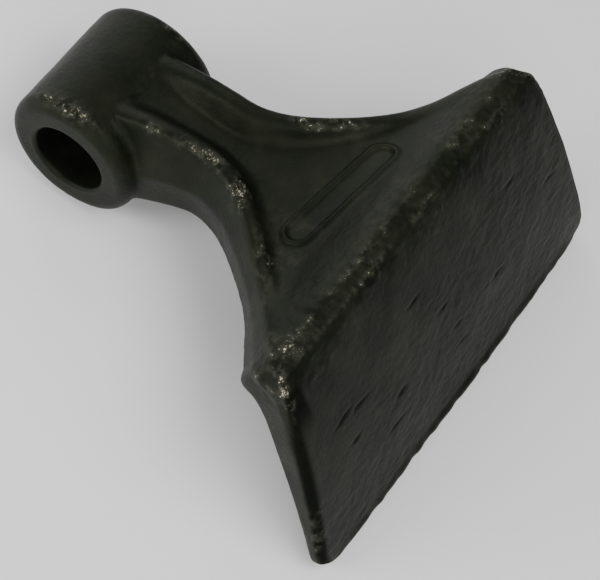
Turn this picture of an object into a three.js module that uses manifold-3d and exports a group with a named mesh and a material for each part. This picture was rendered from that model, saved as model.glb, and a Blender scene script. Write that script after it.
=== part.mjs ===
// Hammer flail of a mulcher rotor: one closed-die steel forging.
// An eye with a plain cross bore carries a ribbed neck that flares into a wide, down-turned blade.
// Millimetres. X runs along the bore, +Z is up, and the blade points towards -Y.
// The part lies as it does on a bench, on the underside of the eye and the cutting edge.
import * as THREE from 'three';
import { mergeVertices } from 'three/addons/utils/BufferGeometryUtils.js';
import Module from 'manifold-3d';

const wasm = await Module();
wasm.setup();

// Eye
const EYE_RADIUS = 22.5;
const EYE_LENGTH = 48;
const EYE_RIM_ROUND = 4.5;
const BORE_RADIUS = 12.25;
const BORE_MOUTH_ROUND = 1.2;

// Corners of the blade seen from the side, as (y, z)
const RIDGE_BACK = [-93.6, 46.4];
const RIDGE_FRONT = [-101.7, 45.4];
const EDGE_FRONT = [-136.4, -20.35];
const SHOULDER_UNDER = [-88, 29.4];
const RIDGE_UNDER = [-94.9, 29.8];
const BLADE_EDGE_THICKNESS = 4.9;
const BLADE_BOW = 1.9;
const BLADE_BACK_BOW = 1.6;
const EDGE_ROUND = 1.2;
const EDGE_CORNER_ROUND = 7;

// Half widths of the blade face
const RIDGE_BACK_HALF_WIDTH = 61.1;
const RIDGE_FRONT_HALF_WIDTH = 66.6;
const EDGE_HALF_WIDTH = 74.8;

// Unit vectors of the blade: down its face, and out of its face.
const bladeDown = new THREE.Vector2(...EDGE_FRONT).sub(new THREE.Vector2(...RIDGE_FRONT)).normalize();
const bladeOut = new THREE.Vector2(bladeDown.y, -bladeDown.x);
const bladeLength = Math.hypot(EDGE_FRONT[0] - RIDGE_FRONT[0], EDGE_FRONT[1] - RIDGE_FRONT[1]);

// Point reached from (y, z) by going down the blade and out of its face.
function fromPoint([y, z], down, out) {
  return [y + bladeDown.x * down + bladeOut.x * out, z + bladeDown.y * down + bladeOut.y * out];
}

function midPoint(a, b) {
  return [(a[0] + b[0]) / 2, (a[1] + b[1]) / 2];
}

const EDGE_BACK = fromPoint(EDGE_FRONT, 0, -BLADE_EDGE_THICKNESS);
const MIDDLE_FRONT = fromPoint(midPoint(RIDGE_FRONT, EDGE_FRONT), 0, 2 * BLADE_BOW);
const MIDDLE_BACK = fromPoint(midPoint(RIDGE_UNDER, EDGE_BACK), 0, 2 * BLADE_BACK_BOW);

function distance(a, b) {
  return Math.hypot(a[0] - b[0], a[1] - b[1]);
}

// Cross sections from the eye to the cutting edge.
// top and under are the upper and lower corners of the side wall, as (y, z), and topHalf is the half
// width at the top corner. The wall runs out by flare down to the parting line, which stands parting
// above the under corner. web is the depth of the hollow between the two edge ribs, belly is how far
// the underside hangs below its corners at mid width, and corner is the round of the top corner.
// blend is the share of the stretch on each side in which the skin turns into the next stretch.
const STATIONS = [
  {
    top: [-3, 20.5], under: [-12, -16], topHalf: 14.8, flare: 5,
    parting: 13.6, web: 0, belly: 0, corner: 2.5, blend: 0,
  },
  {
    top: [-24.3, 28], under: [-28.5, -2], topHalf: 12.9, flare: 5.7,
    parting: 13.6, web: 7, belly: 0, corner: 2.5, blend: 0.45,
  },
  {
    top: [-49, 30.3], under: [-47, 4.5], topHalf: 12.4, flare: 3.9,
    parting: 13.6, web: 7, belly: 0, corner: 2.5, blend: 0.5,
  },
  {
    top: [-77.7, 31.4], under: [-74.8, 18.3], topHalf: 38.9, flare: 2.2,
    parting: 7.3, web: 2, belly: 2, corner: 2.5, blend: 0.4,
  },
  {
    top: RIDGE_BACK, under: SHOULDER_UNDER, topHalf: RIDGE_BACK_HALF_WIDTH, flare: 3.4,
    parting: 10.2, web: 0, belly: 5, corner: 1.6, blend: 0.3,
  },
  {
    top: RIDGE_FRONT, under: RIDGE_UNDER, topHalf: RIDGE_FRONT_HALF_WIDTH, flare: 0.5,
    parting: distance(RIDGE_FRONT, RIDGE_UNDER) - 5.1,
    web: 0, belly: 3.5, corner: 1.5, blend: 0.25,
  },
  {
    top: MIDDLE_FRONT, under: MIDDLE_BACK,
    topHalf: (RIDGE_FRONT_HALF_WIDTH + EDGE_HALF_WIDTH) / 2, flare: 2.5,
    parting: distance(MIDDLE_FRONT, MIDDLE_BACK) - 3,
    web: 0, belly: 0, corner: 2.5, blend: 0.75,
  },
  {
    top: EDGE_FRONT, under: EDGE_BACK, topHalf: EDGE_HALF_WIDTH, flare: 2,
    parting: BLADE_EDGE_THICKNESS - 2.2, web: 0, belly: 0, corner: 2, blend: 0,
  },
];
const RIB_TOP_WIDTH = 5;
const RIB_WALL_RUN = 4.5;
const UNDER_ROUND = 1;
const LOWER_DRAFT = 0.07;
const RINGS_PER_STRETCH = 8;
const EDGE_RINGS = 5;
const BELLY_STEPS = 4;
const ROUND_SEGMENTS = 72;

const steel = new THREE.MeshStandardMaterial({
  color: 0x2b2f28,
  roughness: 0.5,
  metalness: 0.55,
});

// Solid from a closed three.js geometry, welded so that faces share their corners.
function toSolid(geometry) {
  const bare = geometry.index ? geometry.clone() : geometry;
  bare.deleteAttribute('normal');
  bare.deleteAttribute('uv');
  const welded = mergeVertices(bare, 1e-4);
  return new wasm.Manifold(new wasm.Mesh({
    numProp: 3,
    vertProperties: new Float32Array(welded.attributes.position.array),
    triVerts: new Uint32Array(welded.index.array),
  }));
}

function toGeometry(solid) {
  const mesh = solid.getMesh();
  const geometry = new THREE.BufferGeometry();
  geometry.setAttribute('position', new THREE.BufferAttribute(mesh.vertProperties, 3));
  geometry.setIndex(new THREE.BufferAttribute(mesh.triVerts, 1));
  geometry.computeVertexNormals();
  return geometry;
}

// Solid of revolution about X from (radius, x) points.
function turnedSolid(points) {
  const geometry = new THREE.LatheGeometry(points, ROUND_SEGMENTS);
  geometry.rotateZ(-Math.PI / 2);
  return toSolid(geometry);
}

// Quarter-round points from angle to angle about a centre, in (radius, x).
function roundPoints(centreRadius, centreX, radius, fromAngle, toAngle, steps) {
  const points = [];
  for (let i = 0; i <= steps; i += 1) {
    const angle = fromAngle + (toAngle - fromAngle) * (i / steps);
    points.push(new THREE.Vector2(
      centreRadius + radius * Math.cos(angle),
      centreX + radius * Math.sin(angle),
    ));
  }
  return points;
}

function eye() {
  const half = EYE_LENGTH / 2;
  const inner = EYE_RADIUS - EYE_RIM_ROUND;
  return turnedSolid([
    new THREE.Vector2(0, -half),
    ...roundPoints(inner, -half + EYE_RIM_ROUND, EYE_RIM_ROUND, -Math.PI / 2, 0, 5),
    ...roundPoints(inner, half - EYE_RIM_ROUND, EYE_RIM_ROUND, 0, Math.PI / 2, 5),
    new THREE.Vector2(0, half),
  ]);
}

// The cutter that opens the bore: a cylinder whose ends flare into rounded mouths.
function boreCutter() {
  const half = EYE_LENGTH / 2;
  const clear = half + 2;
  const outer = BORE_RADIUS + BORE_MOUTH_ROUND;
  const arcX = half - BORE_MOUTH_ROUND;
  return turnedSolid([
    new THREE.Vector2(0, -clear),
    new THREE.Vector2(outer, -clear),
    ...roundPoints(outer, -arcX, BORE_MOUTH_ROUND, 1.5 * Math.PI, Math.PI, 3),
    ...roundPoints(outer, arcX, BORE_MOUTH_ROUND, Math.PI, Math.PI / 2, 3),
    new THREE.Vector2(outer, clear),
    new THREE.Vector2(0, clear),
  ]);
}

// Value of the station rows at t, with a smooth turn at each inner station.
function blended(rows, t) {
  const mix = (a, b, f) => a.map((value, i) => value * (1 - f) + b[i] * f);
  for (let k = 1; k < rows.length - 1; k += 1) {
    const { blend } = STATIONS[k];
    if (Math.abs(t - k) < blend) {
      const u = (t - (k - blend)) / (2 * blend);
      const before = mix(rows[k], rows[k - 1], blend);
      const after = mix(rows[k], rows[k + 1], blend);
      return mix(mix(before, rows[k], u), mix(rows[k], after, u), u);
    }
  }
  const first = Math.min(Math.floor(t), rows.length - 2);
  return mix(rows[first], rows[first + 1], t - first);
}

// Right half of a section, from mid top to mid bottom, as [x, height] pairs.
// Height is counted from the under corner (0) to the top corner (full height).
function halfSection(height, topHalf, flare, parting, web, belly, corner) {
  const ribInner = topHalf - RIB_TOP_WIDTH;
  const webEdge = ribInner - RIB_WALL_RUN;
  const partingHalf = topHalf + flare;
  const lowHalf = partingHalf - LOWER_DRAFT * parting;
  const section = [
    [0, height - web],
    [webEdge * 0.5, height - web],
    [webEdge, height - web],
    [ribInner, height],
    [topHalf - corner, height],
    [topHalf - 0.3 * corner, height - 0.15 * corner],
    [topHalf + 0.1 * corner, height - corner],
    [partingHalf, parting],
    [lowHalf, UNDER_ROUND],
    [lowHalf - 0.3 * UNDER_ROUND, 0.3 * UNDER_ROUND],
    [lowHalf - UNDER_ROUND, 0],
  ];
  for (let i = 1; i <= BELLY_STEPS; i += 1) {
    const f = i / BELLY_STEPS;
    section.push([(lowHalf - UNDER_ROUND) * (1 - f), -belly * Math.sin((f * Math.PI) / 2)]);
  }
  return section;
}

// Closed section ring at t. It can be narrowed at its sides and thinned from both faces.
function ring(t, narrowing = 0, thinning = 0) {
  const rows = STATIONS.map((s) => [
    ...s.top, ...s.under, s.topHalf, s.flare, s.parting, s.web, s.belly, s.corner,
  ]);
  const [topY, topZ, underY, underZ, topHalf, ...shape] = blended(rows, t);
  const height = Math.hypot(topY - underY, topZ - underZ);
  const upY = (topY - underY) / height;
  const upZ = (topZ - underZ) / height;
  const kept = 1 - (2 * thinning) / height;
  const half = halfSection(height, topHalf - narrowing, ...shape)
    .map(([x, h]) => [x, height / 2 + (h - height / 2) * kept]);
  const mirrored = half.slice(1, -1).reverse().map(([x, h]) => [-x, h]);
  return [...half, ...mirrored].map(([x, h]) => [x, underY + upY * h, underZ + upZ * h]);
}

// How far a quarter round of the given radius cuts in at a distance from its end.
function roundCut(radius, fromEnd) {
  const rest = Math.max(radius - fromEnd, 0);
  return radius - Math.sqrt(radius * radius - rest * rest);
}

// Closed skin through a row of rings that all have the same number of points.
function loft(rings) {
  const size = rings[0].length;
  const positions = rings.flat(2);
  const triangles = [];
  for (let r = 0; r < rings.length - 1; r += 1) {
    for (let i = 0; i < size; i += 1) {
      const a = r * size + i;
      const b = r * size + ((i + 1) % size);
      triangles.push(a, a + size, b, b, a + size, b + size);
    }
  }
  const last = (rings.length - 1) * size;
  const half = size / 2;
  for (let i = 0; i < half; i += 1) {
    const left = (size - i) % size;
    const right = i;
    const nextLeft = size - i - 1;
    const nextRight = i + 1;
    if (left !== right) {
      triangles.push(left, right, nextRight);
      triangles.push(last + left, last + nextRight, last + right);
    }
    if (nextLeft !== nextRight) {
      triangles.push(left, nextRight, nextLeft);
      triangles.push(last + left, last + nextLeft, last + nextRight);
    }
  }
  const geometry = new THREE.BufferGeometry();
  geometry.setAttribute('position', new THREE.Float32BufferAttribute(positions, 3));
  geometry.setIndex(triangles);
  return geometry;
}

// Neck and blade in one skin. The rings crowd towards the cutting edge to round its corners.
function neckAndBlade() {
  const lastStation = STATIONS.length - 1;
  const roundShare = EDGE_CORNER_ROUND / (bladeLength / 2);
  const rings = [];
  for (let t = 0; t < lastStation - roundShare; t += 1 / RINGS_PER_STRETCH) {
    rings.push(ring(t));
  }
  for (let i = EDGE_RINGS; i >= 0; i -= 1) {
    const fromEdge = EDGE_CORNER_ROUND * (1 - Math.cos((i / EDGE_RINGS) * (Math.PI / 2)));
    const t = lastStation - fromEdge / (bladeLength / 2);
    rings.push(ring(t, roundCut(EDGE_CORNER_ROUND, fromEdge), roundCut(EDGE_ROUND, fromEdge)));
  }
  return toSolid(loft(rings));
}

function forging() {
  const solid = eye().add(neckAndBlade()).subtract(boreCutter());
  const mesh = new THREE.Mesh(toGeometry(solid), steel);
  mesh.name = 'hammer_forging';
  return mesh;
}

const hammer = new THREE.Group();
hammer.add(forging());

export default hammer;
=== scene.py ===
# Hammer flail of a mulcher rotor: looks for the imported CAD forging.
# The forging is rebuilt as one fine skin with rolled edges, fillets and a forged, chipped coating.
import itertools
import math

import bpy
import numpy as np
from mathutils import Matrix, Vector


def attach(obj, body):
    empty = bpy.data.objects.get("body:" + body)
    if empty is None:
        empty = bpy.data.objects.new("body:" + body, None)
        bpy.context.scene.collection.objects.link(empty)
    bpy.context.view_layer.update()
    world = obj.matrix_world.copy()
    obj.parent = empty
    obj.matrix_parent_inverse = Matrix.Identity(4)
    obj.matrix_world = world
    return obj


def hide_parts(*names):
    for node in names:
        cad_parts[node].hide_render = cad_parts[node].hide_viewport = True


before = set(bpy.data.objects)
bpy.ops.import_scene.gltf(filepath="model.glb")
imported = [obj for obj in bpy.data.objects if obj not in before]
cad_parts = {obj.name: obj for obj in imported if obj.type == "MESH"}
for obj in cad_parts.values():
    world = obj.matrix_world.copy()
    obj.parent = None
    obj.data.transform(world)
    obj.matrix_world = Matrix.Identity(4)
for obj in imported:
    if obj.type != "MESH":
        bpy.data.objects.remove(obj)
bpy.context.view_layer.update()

MM = 0.001

# Eye, in millimetres like all the shape values below
EYE_RADIUS = 22.5
EYE_LENGTH = 48.0
EYE_RIM_ROUND = 4.5
BORE_RADIUS = 12.25
BORE_MOUTH_ROUND = 1.2

# Corners of the blade seen from the side, as (y, z)
RIDGE_BACK = np.array([-93.6, 46.4])
RIDGE_FRONT = np.array([-101.7, 45.4])
EDGE_FRONT = np.array([-136.4, -20.35])
SHOULDER_UNDER = np.array([-88.0, 29.4])
RIDGE_UNDER = np.array([-94.9, 29.8])
BLADE_EDGE_THICKNESS = 4.9
BLADE_BOW = 1.9
BLADE_BACK_BOW = 1.6
EDGE_ROUND = 1.2
EDGE_CORNER_ROUND = 7.0

# Depth from the front face to the parting line, down the side of the blade
PARTING_AT_RIDGE = 5.1
PARTING_AT_MIDDLE = 3.0
PARTING_AT_EDGE = 2.2

# Half widths of the blade face
RIDGE_BACK_HALF_WIDTH = 61.1
RIDGE_FRONT_HALF_WIDTH = 66.6
EDGE_HALF_WIDTH = 74.8

BLADE_LENGTH = float(np.linalg.norm(EDGE_FRONT - RIDGE_FRONT))
BLADE_DOWN = (EDGE_FRONT - RIDGE_FRONT) / BLADE_LENGTH
BLADE_OUT = np.array([BLADE_DOWN[1], -BLADE_DOWN[0]])
EDGE_BACK = EDGE_FRONT - BLADE_EDGE_THICKNESS * BLADE_OUT
MIDDLE_FRONT = (RIDGE_FRONT + EDGE_FRONT) / 2 + 2 * BLADE_BOW * BLADE_OUT
MIDDLE_BACK = (RIDGE_UNDER + EDGE_BACK) / 2 + 2 * BLADE_BACK_BOW * BLADE_OUT

RIB_TOP_WIDTH = 5.0
RIB_WALL_RUN = 4.5
LOWER_DRAFT = 0.07


def station(top, under, top_half, flare, parting, web, belly, corner):
    """One cross section as a row of numbers, in the order that section_outline() takes them."""
    return [*top, *under, top_half, flare, parting, web, belly, corner]


STATIONS = np.array([
    station([-3, 20.5], [-12, -16], 14.8, 5, 13.6, 0, 0, 2.5),
    station([-24.3, 28], [-28.5, -2], 12.9, 5.7, 13.6, 7, 0, 2.5),
    station([-49, 30.3], [-47, 4.5], 12.4, 3.9, 13.6, 7, 0, 2.5),
    station([-77.7, 31.4], [-74.8, 18.3], 38.9, 2.2, 7.3, 2, 2, 2.5),
    station(RIDGE_BACK, SHOULDER_UNDER, RIDGE_BACK_HALF_WIDTH, 3.4, 10.2, 0, 5, 1.6),
    station(
        RIDGE_FRONT, RIDGE_UNDER, RIDGE_FRONT_HALF_WIDTH, 0.5,
        np.linalg.norm(RIDGE_FRONT - RIDGE_UNDER) - PARTING_AT_RIDGE, 0, 3.5, 1.5,
    ),
    station(
        MIDDLE_FRONT, MIDDLE_BACK, (RIDGE_FRONT_HALF_WIDTH + EDGE_HALF_WIDTH) / 2, 2.5,
        np.linalg.norm(MIDDLE_FRONT - MIDDLE_BACK) - PARTING_AT_MIDDLE, 0, 0, 2.5,
    ),
    station(
        EDGE_FRONT, EDGE_BACK, EDGE_HALF_WIDTH, 2,
        BLADE_EDGE_THICKNESS - PARTING_AT_EDGE, 0, 0, 2,
    ),
])
# Share of the stretch on each side in which the skin turns at each station
STATION_BLENDS = [0, 0.45, 0.5, 0.4, 0.3, 0.25, 0.75, 0]
RINGS_PER_STRETCH = 20
EDGE_RINGS = 12
CORNER_STEPS = 5
EYE_SEGMENTS = 180

# Rolled edges: fillets in hollow corners, and rounds on crests
VOXEL = 0.5
NECK_FILLET_RADIUS = 6.0
EYE_FILLET_RADIUS = 3.5
NECK_CREST_ROUND = 2.0
RIDGE_CREST_ROUND = 8.0
BLADE_CREST_ROUND = 0.4
ROLL_STEPS = 160
ROLL_RATE = 0.7
NORMALS_EVERY = 10


# ---------------------------------------------------------------- forging shape

def lathe(profile, name):
    """Closed mesh turned about X from (radius, x) points that start and end on the axis."""
    points = np.array(profile, float)
    angles = np.arange(EYE_SEGMENTS) * 2 * math.pi / EYE_SEGMENTS
    inner = points[1:-1]
    verts = [(points[0][1], 0, 0), (points[-1][1], 0, 0)]
    for angle in angles:
        for radius, x in inner:
            verts.append((x, radius * math.cos(angle), radius * math.sin(angle)))
    faces = []
    count = len(inner)
    for i in range(EYE_SEGMENTS):
        a = 2 + i * count
        b = 2 + ((i + 1) % EYE_SEGMENTS) * count
        faces.append((0, b, a))
        faces.append((1, a + count - 1, b + count - 1))
        for j in range(count - 1):
            faces.append((a + j, b + j, b + j + 1, a + j + 1))
    return mesh_object(name, verts, faces)


def mesh_object(name, verts, faces):
    mesh = bpy.data.meshes.new(name)
    mesh.from_pydata([tuple(np.array(v) * MM) for v in verts], [], faces)
    mesh.update()
    obj = bpy.data.objects.new(name, mesh)
    bpy.context.scene.collection.objects.link(obj)
    return obj


def arc(centre_radius, centre_x, radius, from_angle, to_angle, steps):
    """Points of an arc about a centre, as (radius, x)."""
    angles = np.linspace(from_angle, to_angle, steps + 1)
    return [
        (centre_radius + radius * math.cos(a), centre_x + radius * math.sin(a))
        for a in angles
    ]


def eye():
    half = EYE_LENGTH / 2
    inner = EYE_RADIUS - EYE_RIM_ROUND
    start = half - EYE_RIM_ROUND
    return lathe([
        (0, -half),
        *arc(inner, -start, EYE_RIM_ROUND, -math.pi / 2, 0, 12),
        *arc(inner, start, EYE_RIM_ROUND, 0, math.pi / 2, 12),
        (0, half),
    ], "eye")


def bore_cutter():
    clear = EYE_LENGTH / 2 + 2
    outer = BORE_RADIUS + BORE_MOUTH_ROUND
    arc_x = EYE_LENGTH / 2 - BORE_MOUTH_ROUND
    return lathe([
        (0, -clear),
        (outer, -clear),
        *arc(outer, -arc_x, BORE_MOUTH_ROUND, 1.5 * math.pi, math.pi, 6),
        *arc(outer, arc_x, BORE_MOUTH_ROUND, math.pi, math.pi / 2, 6),
        (outer, clear),
        (0, clear),
    ], "bore_cutter")


def blended(t):
    """Station row at t, with a smooth turn at each inner station."""
    for k in range(1, len(STATIONS) - 1):
        blend = STATION_BLENDS[k]
        if abs(t - k) < blend:
            u = (t - (k - blend)) / (2 * blend)
            before = STATIONS[k] + (STATIONS[k - 1] - STATIONS[k]) * blend
            after = STATIONS[k] + (STATIONS[k + 1] - STATIONS[k]) * blend
            return (1 - u) ** 2 * before + 2 * u * (1 - u) * STATIONS[k] + u ** 2 * after
    first = min(int(t), len(STATIONS) - 2)
    return STATIONS[first] + (STATIONS[first + 1] - STATIONS[first]) * (t - first)


def rounded(corners):
    """Polyline through (x, height, round) corners, each turned with its own round."""
    points = np.array([c[:2] for c in corners], float)
    line = [points[0]]
    for i in range(1, len(points) - 1):
        corner = points[i]
        reach_in = corner - points[i - 1]
        reach_out = points[i + 1] - corner
        length_in = max(np.linalg.norm(reach_in), 1e-6)
        length_out = max(np.linalg.norm(reach_out), 1e-6)
        size = min(corners[i][2], 0.48 * length_in, 0.48 * length_out)
        start = corner - reach_in / length_in * size
        end = corner + reach_out / length_out * size
        for u in np.linspace(0, 1, CORNER_STEPS):
            line.append((1 - u) ** 2 * start + 2 * u * (1 - u) * corner + u ** 2 * end)
    line.append(points[-1])
    return np.array(line)


def section_outline(height, top_half, flare, parting, web, belly, corner):
    """Right half of a section as (x, height) points, from mid top to mid bottom."""
    rib_inner = top_half - RIB_TOP_WIDTH
    web_edge = rib_inner - RIB_WALL_RUN
    parting_half = top_half + flare
    low_half = parting_half - LOWER_DRAFT * parting
    upper = rounded([
        (0, height - web, 0),
        (web_edge, height - web, 4),
        (rib_inner, height, 2),
        (top_half, height, corner),
        (parting_half, parting, 1),
        (low_half, 0, 1.5),
        (low_half - 6, -0.1 * belly, 0),
    ])
    steps = np.linspace(0, 1, 9)[1:]
    reach = low_half - 6
    under = np.stack([
        reach * (1 - steps),
        -belly * (0.1 + 0.9 * np.sin(steps * math.pi / 2)),
    ], axis=1)
    return np.vstack([upper, under])


def ring(t, narrowing=0.0, thinning=0.0):
    """Closed section ring at t, narrowed at its sides and thinned from both faces."""
    row = blended(t)
    top, under, top_half, shape = row[0:2], row[2:4], row[4], row[5:]
    height = np.linalg.norm(top - under)
    up = (top - under) / height
    half = section_outline(height, top_half - narrowing, *shape)
    kept = 1 - 2 * thinning / height
    half[:, 1] = height / 2 + (half[:, 1] - height / 2) * kept
    mirrored = half[-2:0:-1] * [-1, 1]
    closed = np.vstack([half, mirrored])
    return np.column_stack([
        closed[:, 0],
        under[0] + up[0] * closed[:, 1],
        under[1] + up[1] * closed[:, 1],
    ])


def round_cut(radius, from_end):
    """How far a quarter round of the given radius cuts in at a distance from its end."""
    rest = max(radius - from_end, 0)
    return radius - math.sqrt(radius ** 2 - rest ** 2)


def neck_and_blade():
    """The skin from the eye to the cutting edge, with rings crowding towards the edge."""
    last = len(STATIONS) - 1
    stretch = BLADE_LENGTH / 2
    rings = [
        ring(t) for t in np.arange(0, last - EDGE_CORNER_ROUND / stretch, 1 / RINGS_PER_STRETCH)
    ]
    for angle in np.linspace(math.pi / 2, 0, EDGE_RINGS):
        from_edge = EDGE_CORNER_ROUND * (1 - math.cos(angle))
        rings.append(ring(
            last - from_edge / stretch,
            round_cut(EDGE_CORNER_ROUND, from_edge),
            round_cut(EDGE_ROUND, from_edge),
        ))
    size = len(rings[0])
    faces = []
    for r in range(len(rings) - 1):
        for i in range(size):
            j = (i + 1) % size
            a = r * size
            faces.append((a + i, a + size + i, a + size + j, a + j))
    last_ring = (len(rings) - 1) * size
    faces.append(tuple(range(size)))
    faces.append(tuple(last_ring + i for i in reversed(range(size))))
    return mesh_object("neck_and_blade", np.vstack(rings), faces)


def apply_modifiers(obj):
    depsgraph = bpy.context.evaluated_depsgraph_get()
    mesh = bpy.data.meshes.new_from_object(obj.evaluated_get(depsgraph))
    obj.modifiers.clear()
    obj.data = mesh


def boolean(obj, other, operation):
    modifier = obj.modifiers.new(operation.lower(), "BOOLEAN")
    modifier.operation = operation
    modifier.solver = "EXACT"
    modifier.object = other
    apply_modifiers(obj)
    bpy.data.objects.remove(other)


def forging_shell():
    shell = neck_and_blade()
    boolean(shell, eye(), "UNION")
    boolean(shell, bore_cutter(), "DIFFERENCE")
    remesh = shell.modifiers.new("skin", "REMESH")
    remesh.mode = "VOXEL"
    remesh.voxel_size = VOXEL * MM
    apply_modifiers(shell)
    shell.name = "forging"
    return shell


# ---------------------------------------------------------------- rolling edges and fillets

class Skin:
    """The forging's vertices in millimetres, with its edges and quads."""

    def __init__(self, mesh):
        self.mesh = mesh
        count = len(mesh.vertices)
        self.points = self.read(mesh.vertices, "co", 3).reshape(count, 3) / MM
        edges = self.read(mesh.edges, "vertices", 2).astype(int).reshape(-1, 2)
        self.ends = np.concatenate([edges[:, 0], edges[:, 1]])
        self.others = np.concatenate([edges[:, 1], edges[:, 0]])
        self.degree = np.bincount(self.ends, minlength=count).astype(float)
        self.quads = np.array([tuple(face.vertices) for face in mesh.polygons])

    @staticmethod
    def read(items, name, width):
        values = np.empty(len(items) * width, np.int32 if name == "vertices" else np.float32)
        items.foreach_get(name, values)
        return values.astype(float)

    def mean(self, values):
        """Average over each vertex's neighbours."""
        count = len(self.degree)
        if values.ndim == 1:
            return np.bincount(self.ends, values[self.others], count) / self.degree
        return np.stack([self.mean(column) for column in values.T], axis=1)

    def smooth(self, values, times):
        for _ in range(times):
            values = (values + self.mean(values)) / 2
        return values

    def normals(self):
        corners = self.points[self.quads]
        face = np.cross(corners[:, 2] - corners[:, 0], corners[:, 3] - corners[:, 1])
        total = np.zeros_like(self.points)
        for corner in self.quads.T:
            for axis in range(3):
                total[:, axis] += np.bincount(corner, face[:, axis], len(self.points))
        return total / np.linalg.norm(total, axis=1, keepdims=True)

    def turn(self, normals):
        """How much the skin turns at each vertex, in 1/mm: positive in hollows, negative on crests."""
        lift = ((self.mean(self.points) - self.points) * normals).sum(axis=1)
        return 4 * lift / VOXEL ** 2

    def write(self):
        self.mesh.vertices.foreach_set("co", (self.points * MM).astype(np.float32).ravel())
        self.mesh.update()


def ramp(value, low, high):
    """0 below low, 1 above high and a smooth rise between."""
    u = np.clip((value - low) / (high - low), 0, 1)
    return u * u * (3 - 2 * u)


def roll_edges(skin):
    """Fills hollow corners to a fillet and wears crests to a round, both by small steps."""
    x, y, z = skin.points.T
    in_bore = np.hypot(y, z) < BORE_RADIUS + 0.3
    beside_neck = ramp(np.abs(x), 14, 18) * ramp(y, -24, -18)
    fillet = 1 / (NECK_FILLET_RADIUS + (EYE_FILLET_RADIUS - NECK_FILLET_RADIUS) * beside_neck)
    fillet = np.where(in_bore, 1e3, fillet)
    on_ridge = ramp(z, 34, 40) * ramp(y, -107, -104) * (1 - ramp(np.abs(x), 56, 63))
    crest = 1 / np.where(y > RIDGE_BACK[0] + 8, NECK_CREST_ROUND, BLADE_CREST_ROUND)
    crest += (1 / RIDGE_CREST_ROUND - crest) * on_ridge
    for step in range(ROLL_STEPS):
        if step % NORMALS_EVERY == 0:
            normals = skin.normals()
        turn = skin.turn(normals)
        move = np.maximum(turn - fillet, 0) - np.maximum(-turn - crest, 0)
        skin.points += normals * (move * ROLL_RATE * VOXEL ** 2 / 4)[:, None]


# ---------------------------------------------------------------- forged surface detail

# Blank marking pad on the web: a raised stadium rim round a slightly sunken floor, from end to end
PAD_ENDS = np.array([[-15.5, -74.3], [20.0, -79.3]])
PAD_HALF_WIDTH = 4.1
PAD_RIM_WIDTH = 0.95
PAD_RIM_HEIGHT = 0.9
PAD_FLOOR_DEPTH = 0.25

# Dents in the blade face: how many, and the middle and spread of each of their measures
DENT_COUNT = 12
DENT_SHARE_ACROSS = (0.0, 0.85)
DENT_SHARE_DOWN = (0.6, 0.33)
DENT_LENGTH = (4.0, 1.6)
DENT_DEPTH = (0.37, 0.08)
DENT_HALF_HEIGHT = 0.85

# Chips out of the cutting edge as (x, length, depth)
EDGE_CHIPS = [
    (70, 7, 0.6), (50, 4, 0.2), (30, 5, 0.25), (10, 3, 0.25), (-5, 4, 0.35),
    (-20, 3, 0.35), (-30, 5, 0.4), (-50, 4, 0.3), (-65, 3, 0.3),
]

# How far the middle of the cutting edge stands out past its ends
EDGE_BOW = 1.0

# How far the outer corners of the ridge stand out
SHOULDER_BURR = 1.2

# Where knocks wear the coating, as (lowest corner, highest corner, strength) of a box
WORN_BOXES = [
    ([-72, -108, 36], [-50, -90, 50], 0.6),
    ([-60, -110, 36], [70, -86, 50], 0.7),
    ([-46, -84, 22], [-8, -36, 40], 0.75),
    ([-22, -40, 20], [-8, -16, 34], 0.4),
    ([12, -84, 22], [46, -30, 40], 0.45),
    ([-26, -8, 14], [-14, 18, 26], 0.7),
    ([18, -12, 14], [26, 12, 26], 0.4),
    ([-80, -134, -18], [-66, -120, 6], 0.3),
]
WORN_BOX_FADE = 4.0


def scatter(cells):
    """A repeatable random number from -1 to 1 for each row of three whole numbers."""
    mixed = (cells * [73856093, 19349663, 83492791]).sum(axis=1)
    mixed = (mixed ^ (mixed >> 13)) * 1274126177 & 0xFFFFFFFF
    mixed = (mixed ^ (mixed >> 15)) * 668265263 & 0xFFFFFFFF
    return (mixed >> 8 & 0xFFFF) / 32767.5 - 1


def noise(points, size, seed=0):
    """Smooth random height from -1 to 1 whose bumps have the given size in millimetres."""
    spot = points / size + 31.7 * seed
    cell = np.floor(spot).astype(np.int64)
    part = spot - cell
    part = part * part * (3 - 2 * part)
    total = np.zeros(len(points))
    for corner in itertools.product((0, 1), repeat=3):
        share = np.prod(np.where(corner, part, 1 - part), axis=1)
        total += share * scatter(cell + corner)
    return total


def dents():
    """Repeatable random dents as rows of x, distance down the blade, length and depth."""
    cells = np.array(list(itertools.product(range(DENT_COUNT), range(4), [7])))
    random = scatter(cells).reshape(DENT_COUNT, 4)
    measures = np.array([DENT_SHARE_ACROSS, DENT_SHARE_DOWN, DENT_LENGTH, DENT_DEPTH])
    return (measures[:, 0] + measures[:, 1] * random) * [EDGE_HALF_WIDTH, BLADE_LENGTH, 1, 1]


def pad_relief(x, y):
    """Height of the marking pad, as if it lay everywhere below or above (x, y)."""
    start, end = PAD_ENDS
    along = end - start
    spots = np.column_stack([x, y]) - start
    share = np.clip(spots @ along / (along @ along), 0, 1)
    distance = np.linalg.norm(spots - share[:, None] * along, axis=1)
    rim = np.exp(-(((distance - PAD_HALF_WIDTH) / PAD_RIM_WIDTH) ** 2))
    inside = 1 - ramp(distance, PAD_HALF_WIDTH - 1.2, PAD_HALF_WIDTH)
    return PAD_RIM_HEIGHT * rim - PAD_FLOOR_DEPTH * inside


def down_blade(y, z):
    """Distance down the blade from the ridge."""
    return (y - RIDGE_FRONT[0]) * BLADE_DOWN[0] + (z - RIDGE_FRONT[1]) * BLADE_DOWN[1]


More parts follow.
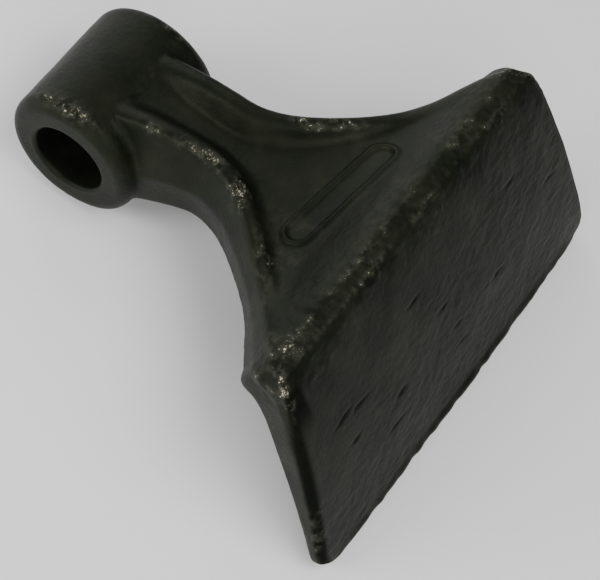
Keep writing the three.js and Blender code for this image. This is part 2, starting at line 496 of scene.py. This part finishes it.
def out_of_blade(normals):
    """How nearly each normal points out of the front face of the blade."""
    return normals[:, 1] * BLADE_OUT[0] + normals[:, 2] * BLADE_OUT[1]


def skin_relief(points, faces_up):
    """Unevenness of the whole forging, with a finer grain where it faces up."""
    relief = 0.2 * noise(points, 13, 2) + 0.07 * noise(points, 5, 3)
    relief += 0.022 * noise(points, 1.3, 4)
    return relief + 0.035 * faces_up * noise(points, 0.9, 10)


def blade_relief(points, normals, down):
    """Wrinkles of the front face of the blade, coarser towards +X and the edge, and its dents."""
    x, _, z = points.T
    faces_front = ramp(out_of_blade(normals), 0.75, 0.95)
    coarse = ramp(down + 0.42 * x + 7 * noise(points, 22, 1), 12, 34)
    spot = np.column_stack([x, down, 0.3 * z])
    wrinkle = noise(spot, [3.0, 1.9, 3], 5) + 0.7 * noise(spot, [1.7, 1.1, 2], 6)
    relief = faces_front * ramp(down, 3, 12) * (0.026 + 0.056 * coarse) * wrinkle
    wavy_down = down + 0.9 * noise(points, 4, 12)
    for dent_x, dent_down, length, depth in dents():
        reach = ((x - dent_x) / length) ** 2 + ((wavy_down - dent_down) / DENT_HALF_HEIGHT) ** 2
        relief -= faces_front * depth * np.exp(-2 * reach)
    return relief


def ridge_relief(points):
    """Pits and bumps along the ridge, and its outer corners."""
    x, y, z = points.T
    ridge = np.exp(-(((y + 96) / 10) ** 2)) * ramp(z, 32, 40)
    corners = np.exp(-(((y + 90) / 6) ** 2)) * ramp(np.abs(x), 60, 64)
    bumps = 0.16 * noise(points, 2.6, 7) + 0.13 * noise(points, 1.4, 9)
    return ridge * bumps + SHOULDER_BURR * corners


def edge_relief(points, down):
    """Bow, raggedness and chips of the cutting edge."""
    x = points[:, 0]
    ragged = 0.22 * noise(points, [3, 40, 40], 8) - EDGE_BOW * (1 - (x / EDGE_HALF_WIDTH) ** 2)
    for chip_x, length, depth in EDGE_CHIPS:
        ragged += depth * np.exp(-(((x - chip_x) / length) ** 2) * 3)
    return -ramp(down, BLADE_LENGTH - 4, BLADE_LENGTH) * ragged


def surface_relief(skin, normals):
    """Height of the forged texture over the smooth skin at each vertex, in millimetres."""
    points = skin.points
    x, y, z = points.T
    down = down_blade(y, z)
    faces_up = ramp(normals[:, 2], 0.5, 0.7)
    on_web = faces_up * ramp(RIDGE_BACK[0] - y, -1, -5)
    relief = skin_relief(points, faces_up) + blade_relief(points, normals, down)
    relief += ridge_relief(points) + edge_relief(points, down)
    return relief + on_web * pad_relief(x, y)


def wear(skin, normals):
    """How bare the metal is at each vertex, from 0 to 1: in patches, and most on crests."""
    crest = skin.smooth(np.maximum(-skin.turn(normals), 0), 12)
    patches = ramp(noise(skin.points, 7, 11), -0.6, 0.5)
    bare = 0.3 * ramp(crest, 0.12, 0.45)
    for lowest, highest, strength in WORN_BOXES:
        depth_inside = np.hstack([skin.points - lowest, highest - skin.points])
        inside = ramp(depth_inside, 0, WORN_BOX_FADE).prod(axis=1)
        bare += strength * patches * (0.3 + ramp(crest, 0.04, 0.2)) * inside
    return np.clip(bare, 0, 1)


def painted_shade_and_dullness(skin, normals):
    """1 where shade is painted and the coating dulled: on the chamfer down each side, and below the
    ridge's -X corner, both picked partly by which way the skin faces.
    """
    x, y, _ = skin.points.T
    outward = out_of_blade(normals)
    past_ridge = ramp(-y, 101, 104)
    slanted = ramp(np.abs(normals[:, 0]), 0.2, 0.45) * ramp(outward, 0.12, 0.35)
    chamfer = slanted * past_ridge * ramp(np.abs(x), 60, 64)
    below_corner = past_ridge * (1 - ramp(-y, 107, 113))
    beside_corner = below_corner * ramp(-x, 60.5, 62.5) * ramp(outward, 0.3, 0.5)
    return skin.smooth(np.maximum(chamfer, beside_corner), 3)


def store(mesh, name, values):
    attribute = mesh.attributes.new(name, "FLOAT", "POINT")
    attribute.data.foreach_set("value", values.astype(np.float32))


def forging_skin():
    forging = forging_shell()
    skin = Skin(forging.data)
    roll_edges(skin)
    normals = skin.normals()
    in_bore = np.hypot(skin.points[:, 1], skin.points[:, 2]) < BORE_RADIUS + BORE_MOUTH_ROUND
    relief = np.where(in_bore, 0, surface_relief(skin, normals))
    store(forging.data, "wear", np.where(in_bore, 0, wear(skin, normals)))
    # Painted shade: a mask, picked partly by facing direction, that darkens and dulls the chamfers and
    # the face below the ridge's -X corner
    store(forging.data, "painted_shade_and_dull", painted_shade_and_dullness(skin, normals))
    skin.points += normals * relief[:, None]
    skin.write()
    forging.data.shade_smooth()
    return forging


forging = forging_skin()
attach(forging, "root")
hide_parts("hammer_forging")


# ---------------------------------------------------------------- material

class Nodes:
    """Short way to add and link shader nodes."""

    def __init__(self, material):
        self.tree = material.node_tree

    def add(self, kind, values=None, links=None, **settings):
        node = self.tree.nodes.new(kind)
        for name, value in settings.items():
            setattr(node, name, value)
        for name, value in (values or {}).items():
            node.inputs[name].default_value = value
        for name, source in (links or {}).items():
            self.tree.links.new(source, node.inputs[name])
        return node

    def noise(self, where, scale, detail=3.0, roughness=0.5):
        node = self.add(
            "ShaderNodeTexNoise",
            {"Scale": scale, "Detail": detail, "Roughness": roughness},
            {"Vector": where},
        )
        return node.outputs["Fac"]

    def ramp(self, value, low, high):
        node = self.add(
            "ShaderNodeMapRange", {"From Min": low, "From Max": high}, {"Value": value},
            interpolation_type="SMOOTHSTEP",
        )
        return node.outputs["Result"]

    def math(self, operation, first, second):
        node = self.add("ShaderNodeMath", operation=operation)
        for socket, value in zip(node.inputs, (first, second)):
            if isinstance(value, float):
                socket.default_value = value
            else:
                self.tree.links.new(value, socket)
        return node.outputs["Value"]

    def mix(self, share, first, second):
        node = self.add("ShaderNodeMix", data_type="RGBA")
        self.tree.links.new(share, node.inputs[0])
        for socket, colour in ((node.inputs[6], first), (node.inputs[7], second)):
            if isinstance(colour, tuple):
                socket.default_value = colour
            else:
                self.tree.links.new(colour, socket)
        return node.outputs[2]


COATING = (0.0054, 0.0064, 0.0038, 1)
COATING_LIGHT = (0.0100, 0.0114, 0.0070, 1)
COATING_DARK = (0.0025, 0.0030, 0.0020, 1)
SCUFFED = (0.026, 0.027, 0.020, 1)
SHEEN_TINT = (0.90, 1.0, 0.74, 1)
BARE_METAL = (0.56, 0.52, 0.38, 1)

# Noise cells per metre
BLOTCH_SCALE = 70
CLUSTER_SCALE = 330
GRAIN_SCALE = 900
SPECK_SCALE = 1700

GLOSS = 0.13
DULL_GLOSS_LOSS = 0.07
ROUGHNESS = 0.36
GRAIN_ROUGHNESS = 0.2
DULL_ROUGHNESS = 0.3
BARE_SMOOTHNESS = 0.12
GRAIN_DEPTH = 0.25


def coat_colour(nodes, where, clusters, worn, painted_shade_and_dull):
    """Coating with light and dark blotches, darkened as painted shade on the chamfers and below the
    ridge's -X corner, and scuffed where it is worn.
    """
    blotches = nodes.noise(where, BLOTCH_SCALE, 4, 0.6)
    coat = nodes.mix(nodes.ramp(blotches, 0.5, 0.7), COATING, COATING_LIGHT)
    coat = nodes.mix(nodes.ramp(blotches, 0.48, 0.32), coat, COATING_DARK)
    # Painted shade: the coating turns to its dark colour where this mask is set, on the chamfers and
    # below the ridge's -X corner
    coat = nodes.mix(painted_shade_and_dull, coat, COATING_DARK)
    scuffs = nodes.math("MULTIPLY", nodes.ramp(clusters, 0.4, 0.6), nodes.ramp(worn, 0.03, 0.5))
    return nodes.mix(scuffs, coat, SCUFFED)


def bare_specks(nodes, where, clusters, worn):
    """1 in specks of bare metal, which come in clusters where the coating is worn."""
    specks = nodes.noise(where, SPECK_SCALE, 2, 0.6)
    grouped = nodes.math("MULTIPLY", nodes.math("SUBTRACT", clusters, 0.5), 0.75)
    lift = nodes.math("ADD", nodes.math("MULTIPLY", worn, 0.22), grouped)
    bare = nodes.ramp(nodes.math("ADD", specks, lift), 0.78, 0.98)
    return nodes.math("MULTIPLY", bare, nodes.ramp(worn, 0.1, 0.35))


def roughness(nodes, grain, painted_shade_and_dull, bare):
    rough = nodes.math("ADD", nodes.math("MULTIPLY", grain, GRAIN_ROUGHNESS), ROUGHNESS)
    rough = nodes.math("ADD", rough, nodes.math("MULTIPLY", painted_shade_and_dull, DULL_ROUGHNESS))
    return nodes.math("SUBTRACT", rough, nodes.math("MULTIPLY", bare, BARE_SMOOTHNESS))


def coated_steel():
    """Olive-black coating over scale, with blotches and bare metal specks where it is worn."""
    material = bpy.data.materials.new("coated_steel")
    material.use_nodes = True
    nodes = Nodes(material)
    where = nodes.add("ShaderNodeTexCoord").outputs["Object"]
    worn = nodes.add("ShaderNodeAttribute", attribute_name="wear").outputs["Fac"]
    # Painted shade mask: darkens the colour on the chamfers and below the ridge's -X corner, and also
    # dulls them
    painted_shade_and_dull = nodes.add("ShaderNodeAttribute", attribute_name="painted_shade_and_dull").outputs["Fac"]
    clusters = nodes.noise(where, CLUSTER_SCALE, 3, 0.6)
    grain = nodes.noise(where, GRAIN_SCALE, 3, 0.7)
    bare = bare_specks(nodes, where, clusters, worn)
    coat = coat_colour(nodes, where, clusters, worn, painted_shade_and_dull)
    bump = nodes.add(
        "ShaderNodeBump", {"Strength": 0.5, "Distance": GRAIN_DEPTH * MM}, {"Height": grain},
    )
    sources = {
        "Base Color": nodes.mix(bare, coat, BARE_METAL),
        "Metallic": bare,
        "Roughness": roughness(nodes, grain, painted_shade_and_dull, bare),
        "Specular IOR Level": nodes.math(
            "SUBTRACT", GLOSS, nodes.math("MULTIPLY", painted_shade_and_dull, DULL_GLOSS_LOSS),
        ),
        "Normal": bump.outputs["Normal"],
    }
    shader = material.node_tree.nodes["Principled BSDF"]
    shader.inputs["Specular Tint"].default_value = SHEEN_TINT
    for name, source in sources.items():
        material.node_tree.links.new(source, shader.inputs[name])
    return material


forging.data.materials.clear()
forging.data.materials.append(coated_steel())


# ---------------------------------------------------------------- stage, light, camera

# Just under the bowed cutting edge, which reaches a little lower than the eye
FLOOR_HEIGHT = -23.6
FLOOR_REACH = 3.0

WORLD_STRENGTH = 0.14

# Softboxes 1 m from the middle of the part, as (name, azimuth, elevation, power, size in metres)
SOFTBOX_AIM = Vector((0, -0.07, 0.01))
SOFTBOXES = [
    ("front_high", 0, 68, 6.0, 0.6),
    ("front_left", 315, 42, 2.9, 0.6),
    ("back_right", 135, 42, 2.2, 0.6),
    ("back_left_low", 218, 14, 4.2, 0.6),
    ("back_left_high", 232, 36, 2.6, 0.4),
    ("back_right_low", 150, 14, 2.1, 0.6),
    ("left_low", 276, 20, 3.4, 0.6),
]

CAMERA_LENS = 128.7
CAMERA_TARGET = (-14.4, -80.4, -0.9)
CAMERA_AZIMUTH = -73.26
CAMERA_ELEVATION = 61.09
CAMERA_ROLL = -20.19
CAMERA_DISTANCE = 643.9


def away_from_part(azimuth, elevation):
    """Unit vector at azimuth degrees from the front (-Y) towards +X, and elevation degrees up."""
    around = math.radians(azimuth)
    up = math.radians(elevation)
    return Vector((math.sin(around) * math.cos(up), -math.cos(around) * math.cos(up), math.sin(up)))


def floor_plane():
    mesh = bpy.data.meshes.new("floor")
    corners = ((-1, -1), (1, -1), (1, 1), (-1, 1))
    mesh.from_pydata([(FLOOR_REACH * x, FLOOR_REACH * y, 0) for x, y in corners], [], [(0, 1, 2, 3)])
    floor = bpy.data.objects.new("floor", mesh)
    bpy.context.scene.collection.objects.link(floor)
    floor.location.z = FLOOR_HEIGHT * MM
    material = bpy.data.materials.new("pale_floor")
    material.use_nodes = True
    shader = material.node_tree.nodes["Principled BSDF"]
    shader.inputs["Base Color"].default_value = (0.9, 0.9, 0.9, 1)
    shader.inputs["Roughness"].default_value = 0.9
    floor.data.materials.append(material)


def softbox(name, azimuth, elevation, power, size):
    light = bpy.data.lights.new(name, "AREA")
    light.shape = "DISK"
    light.size = size
    light.energy = power
    away = away_from_part(azimuth, elevation)
    obj = bpy.data.objects.new(name, light)
    bpy.context.scene.collection.objects.link(obj)
    obj.location = SOFTBOX_AIM + away
    obj.rotation_euler = away.to_track_quat("Z", "Y").to_euler()


def world_light():
    world = bpy.data.worlds.new("studio")
    world.use_nodes = True
    background = world.node_tree.nodes["Background"]
    background.inputs["Color"].default_value = (1, 1, 1, 1)
    background.inputs["Strength"].default_value = WORLD_STRENGTH
    bpy.context.scene.world = world


def camera():
    data = bpy.data.cameras.new("camera")
    data.lens = CAMERA_LENS
    data.sensor_width = 36
    data.clip_start = 0.01
    obj = bpy.data.objects.new("camera", data)
    bpy.context.scene.collection.objects.link(obj)
    back = away_from_part(CAMERA_AZIMUTH, CAMERA_ELEVATION)
    obj.location = (Vector(CAMERA_TARGET) + back * CAMERA_DISTANCE) * MM
    roll = Matrix.Rotation(-math.radians(CAMERA_ROLL), 3, "Z")
    obj.rotation_euler = (back.to_track_quat("Z", "Y").to_matrix() @ roll).to_euler()
    bpy.context.scene.camera = obj


floor_plane()
world_light()
for box in SOFTBOXES:
    softbox(*box)
camera()
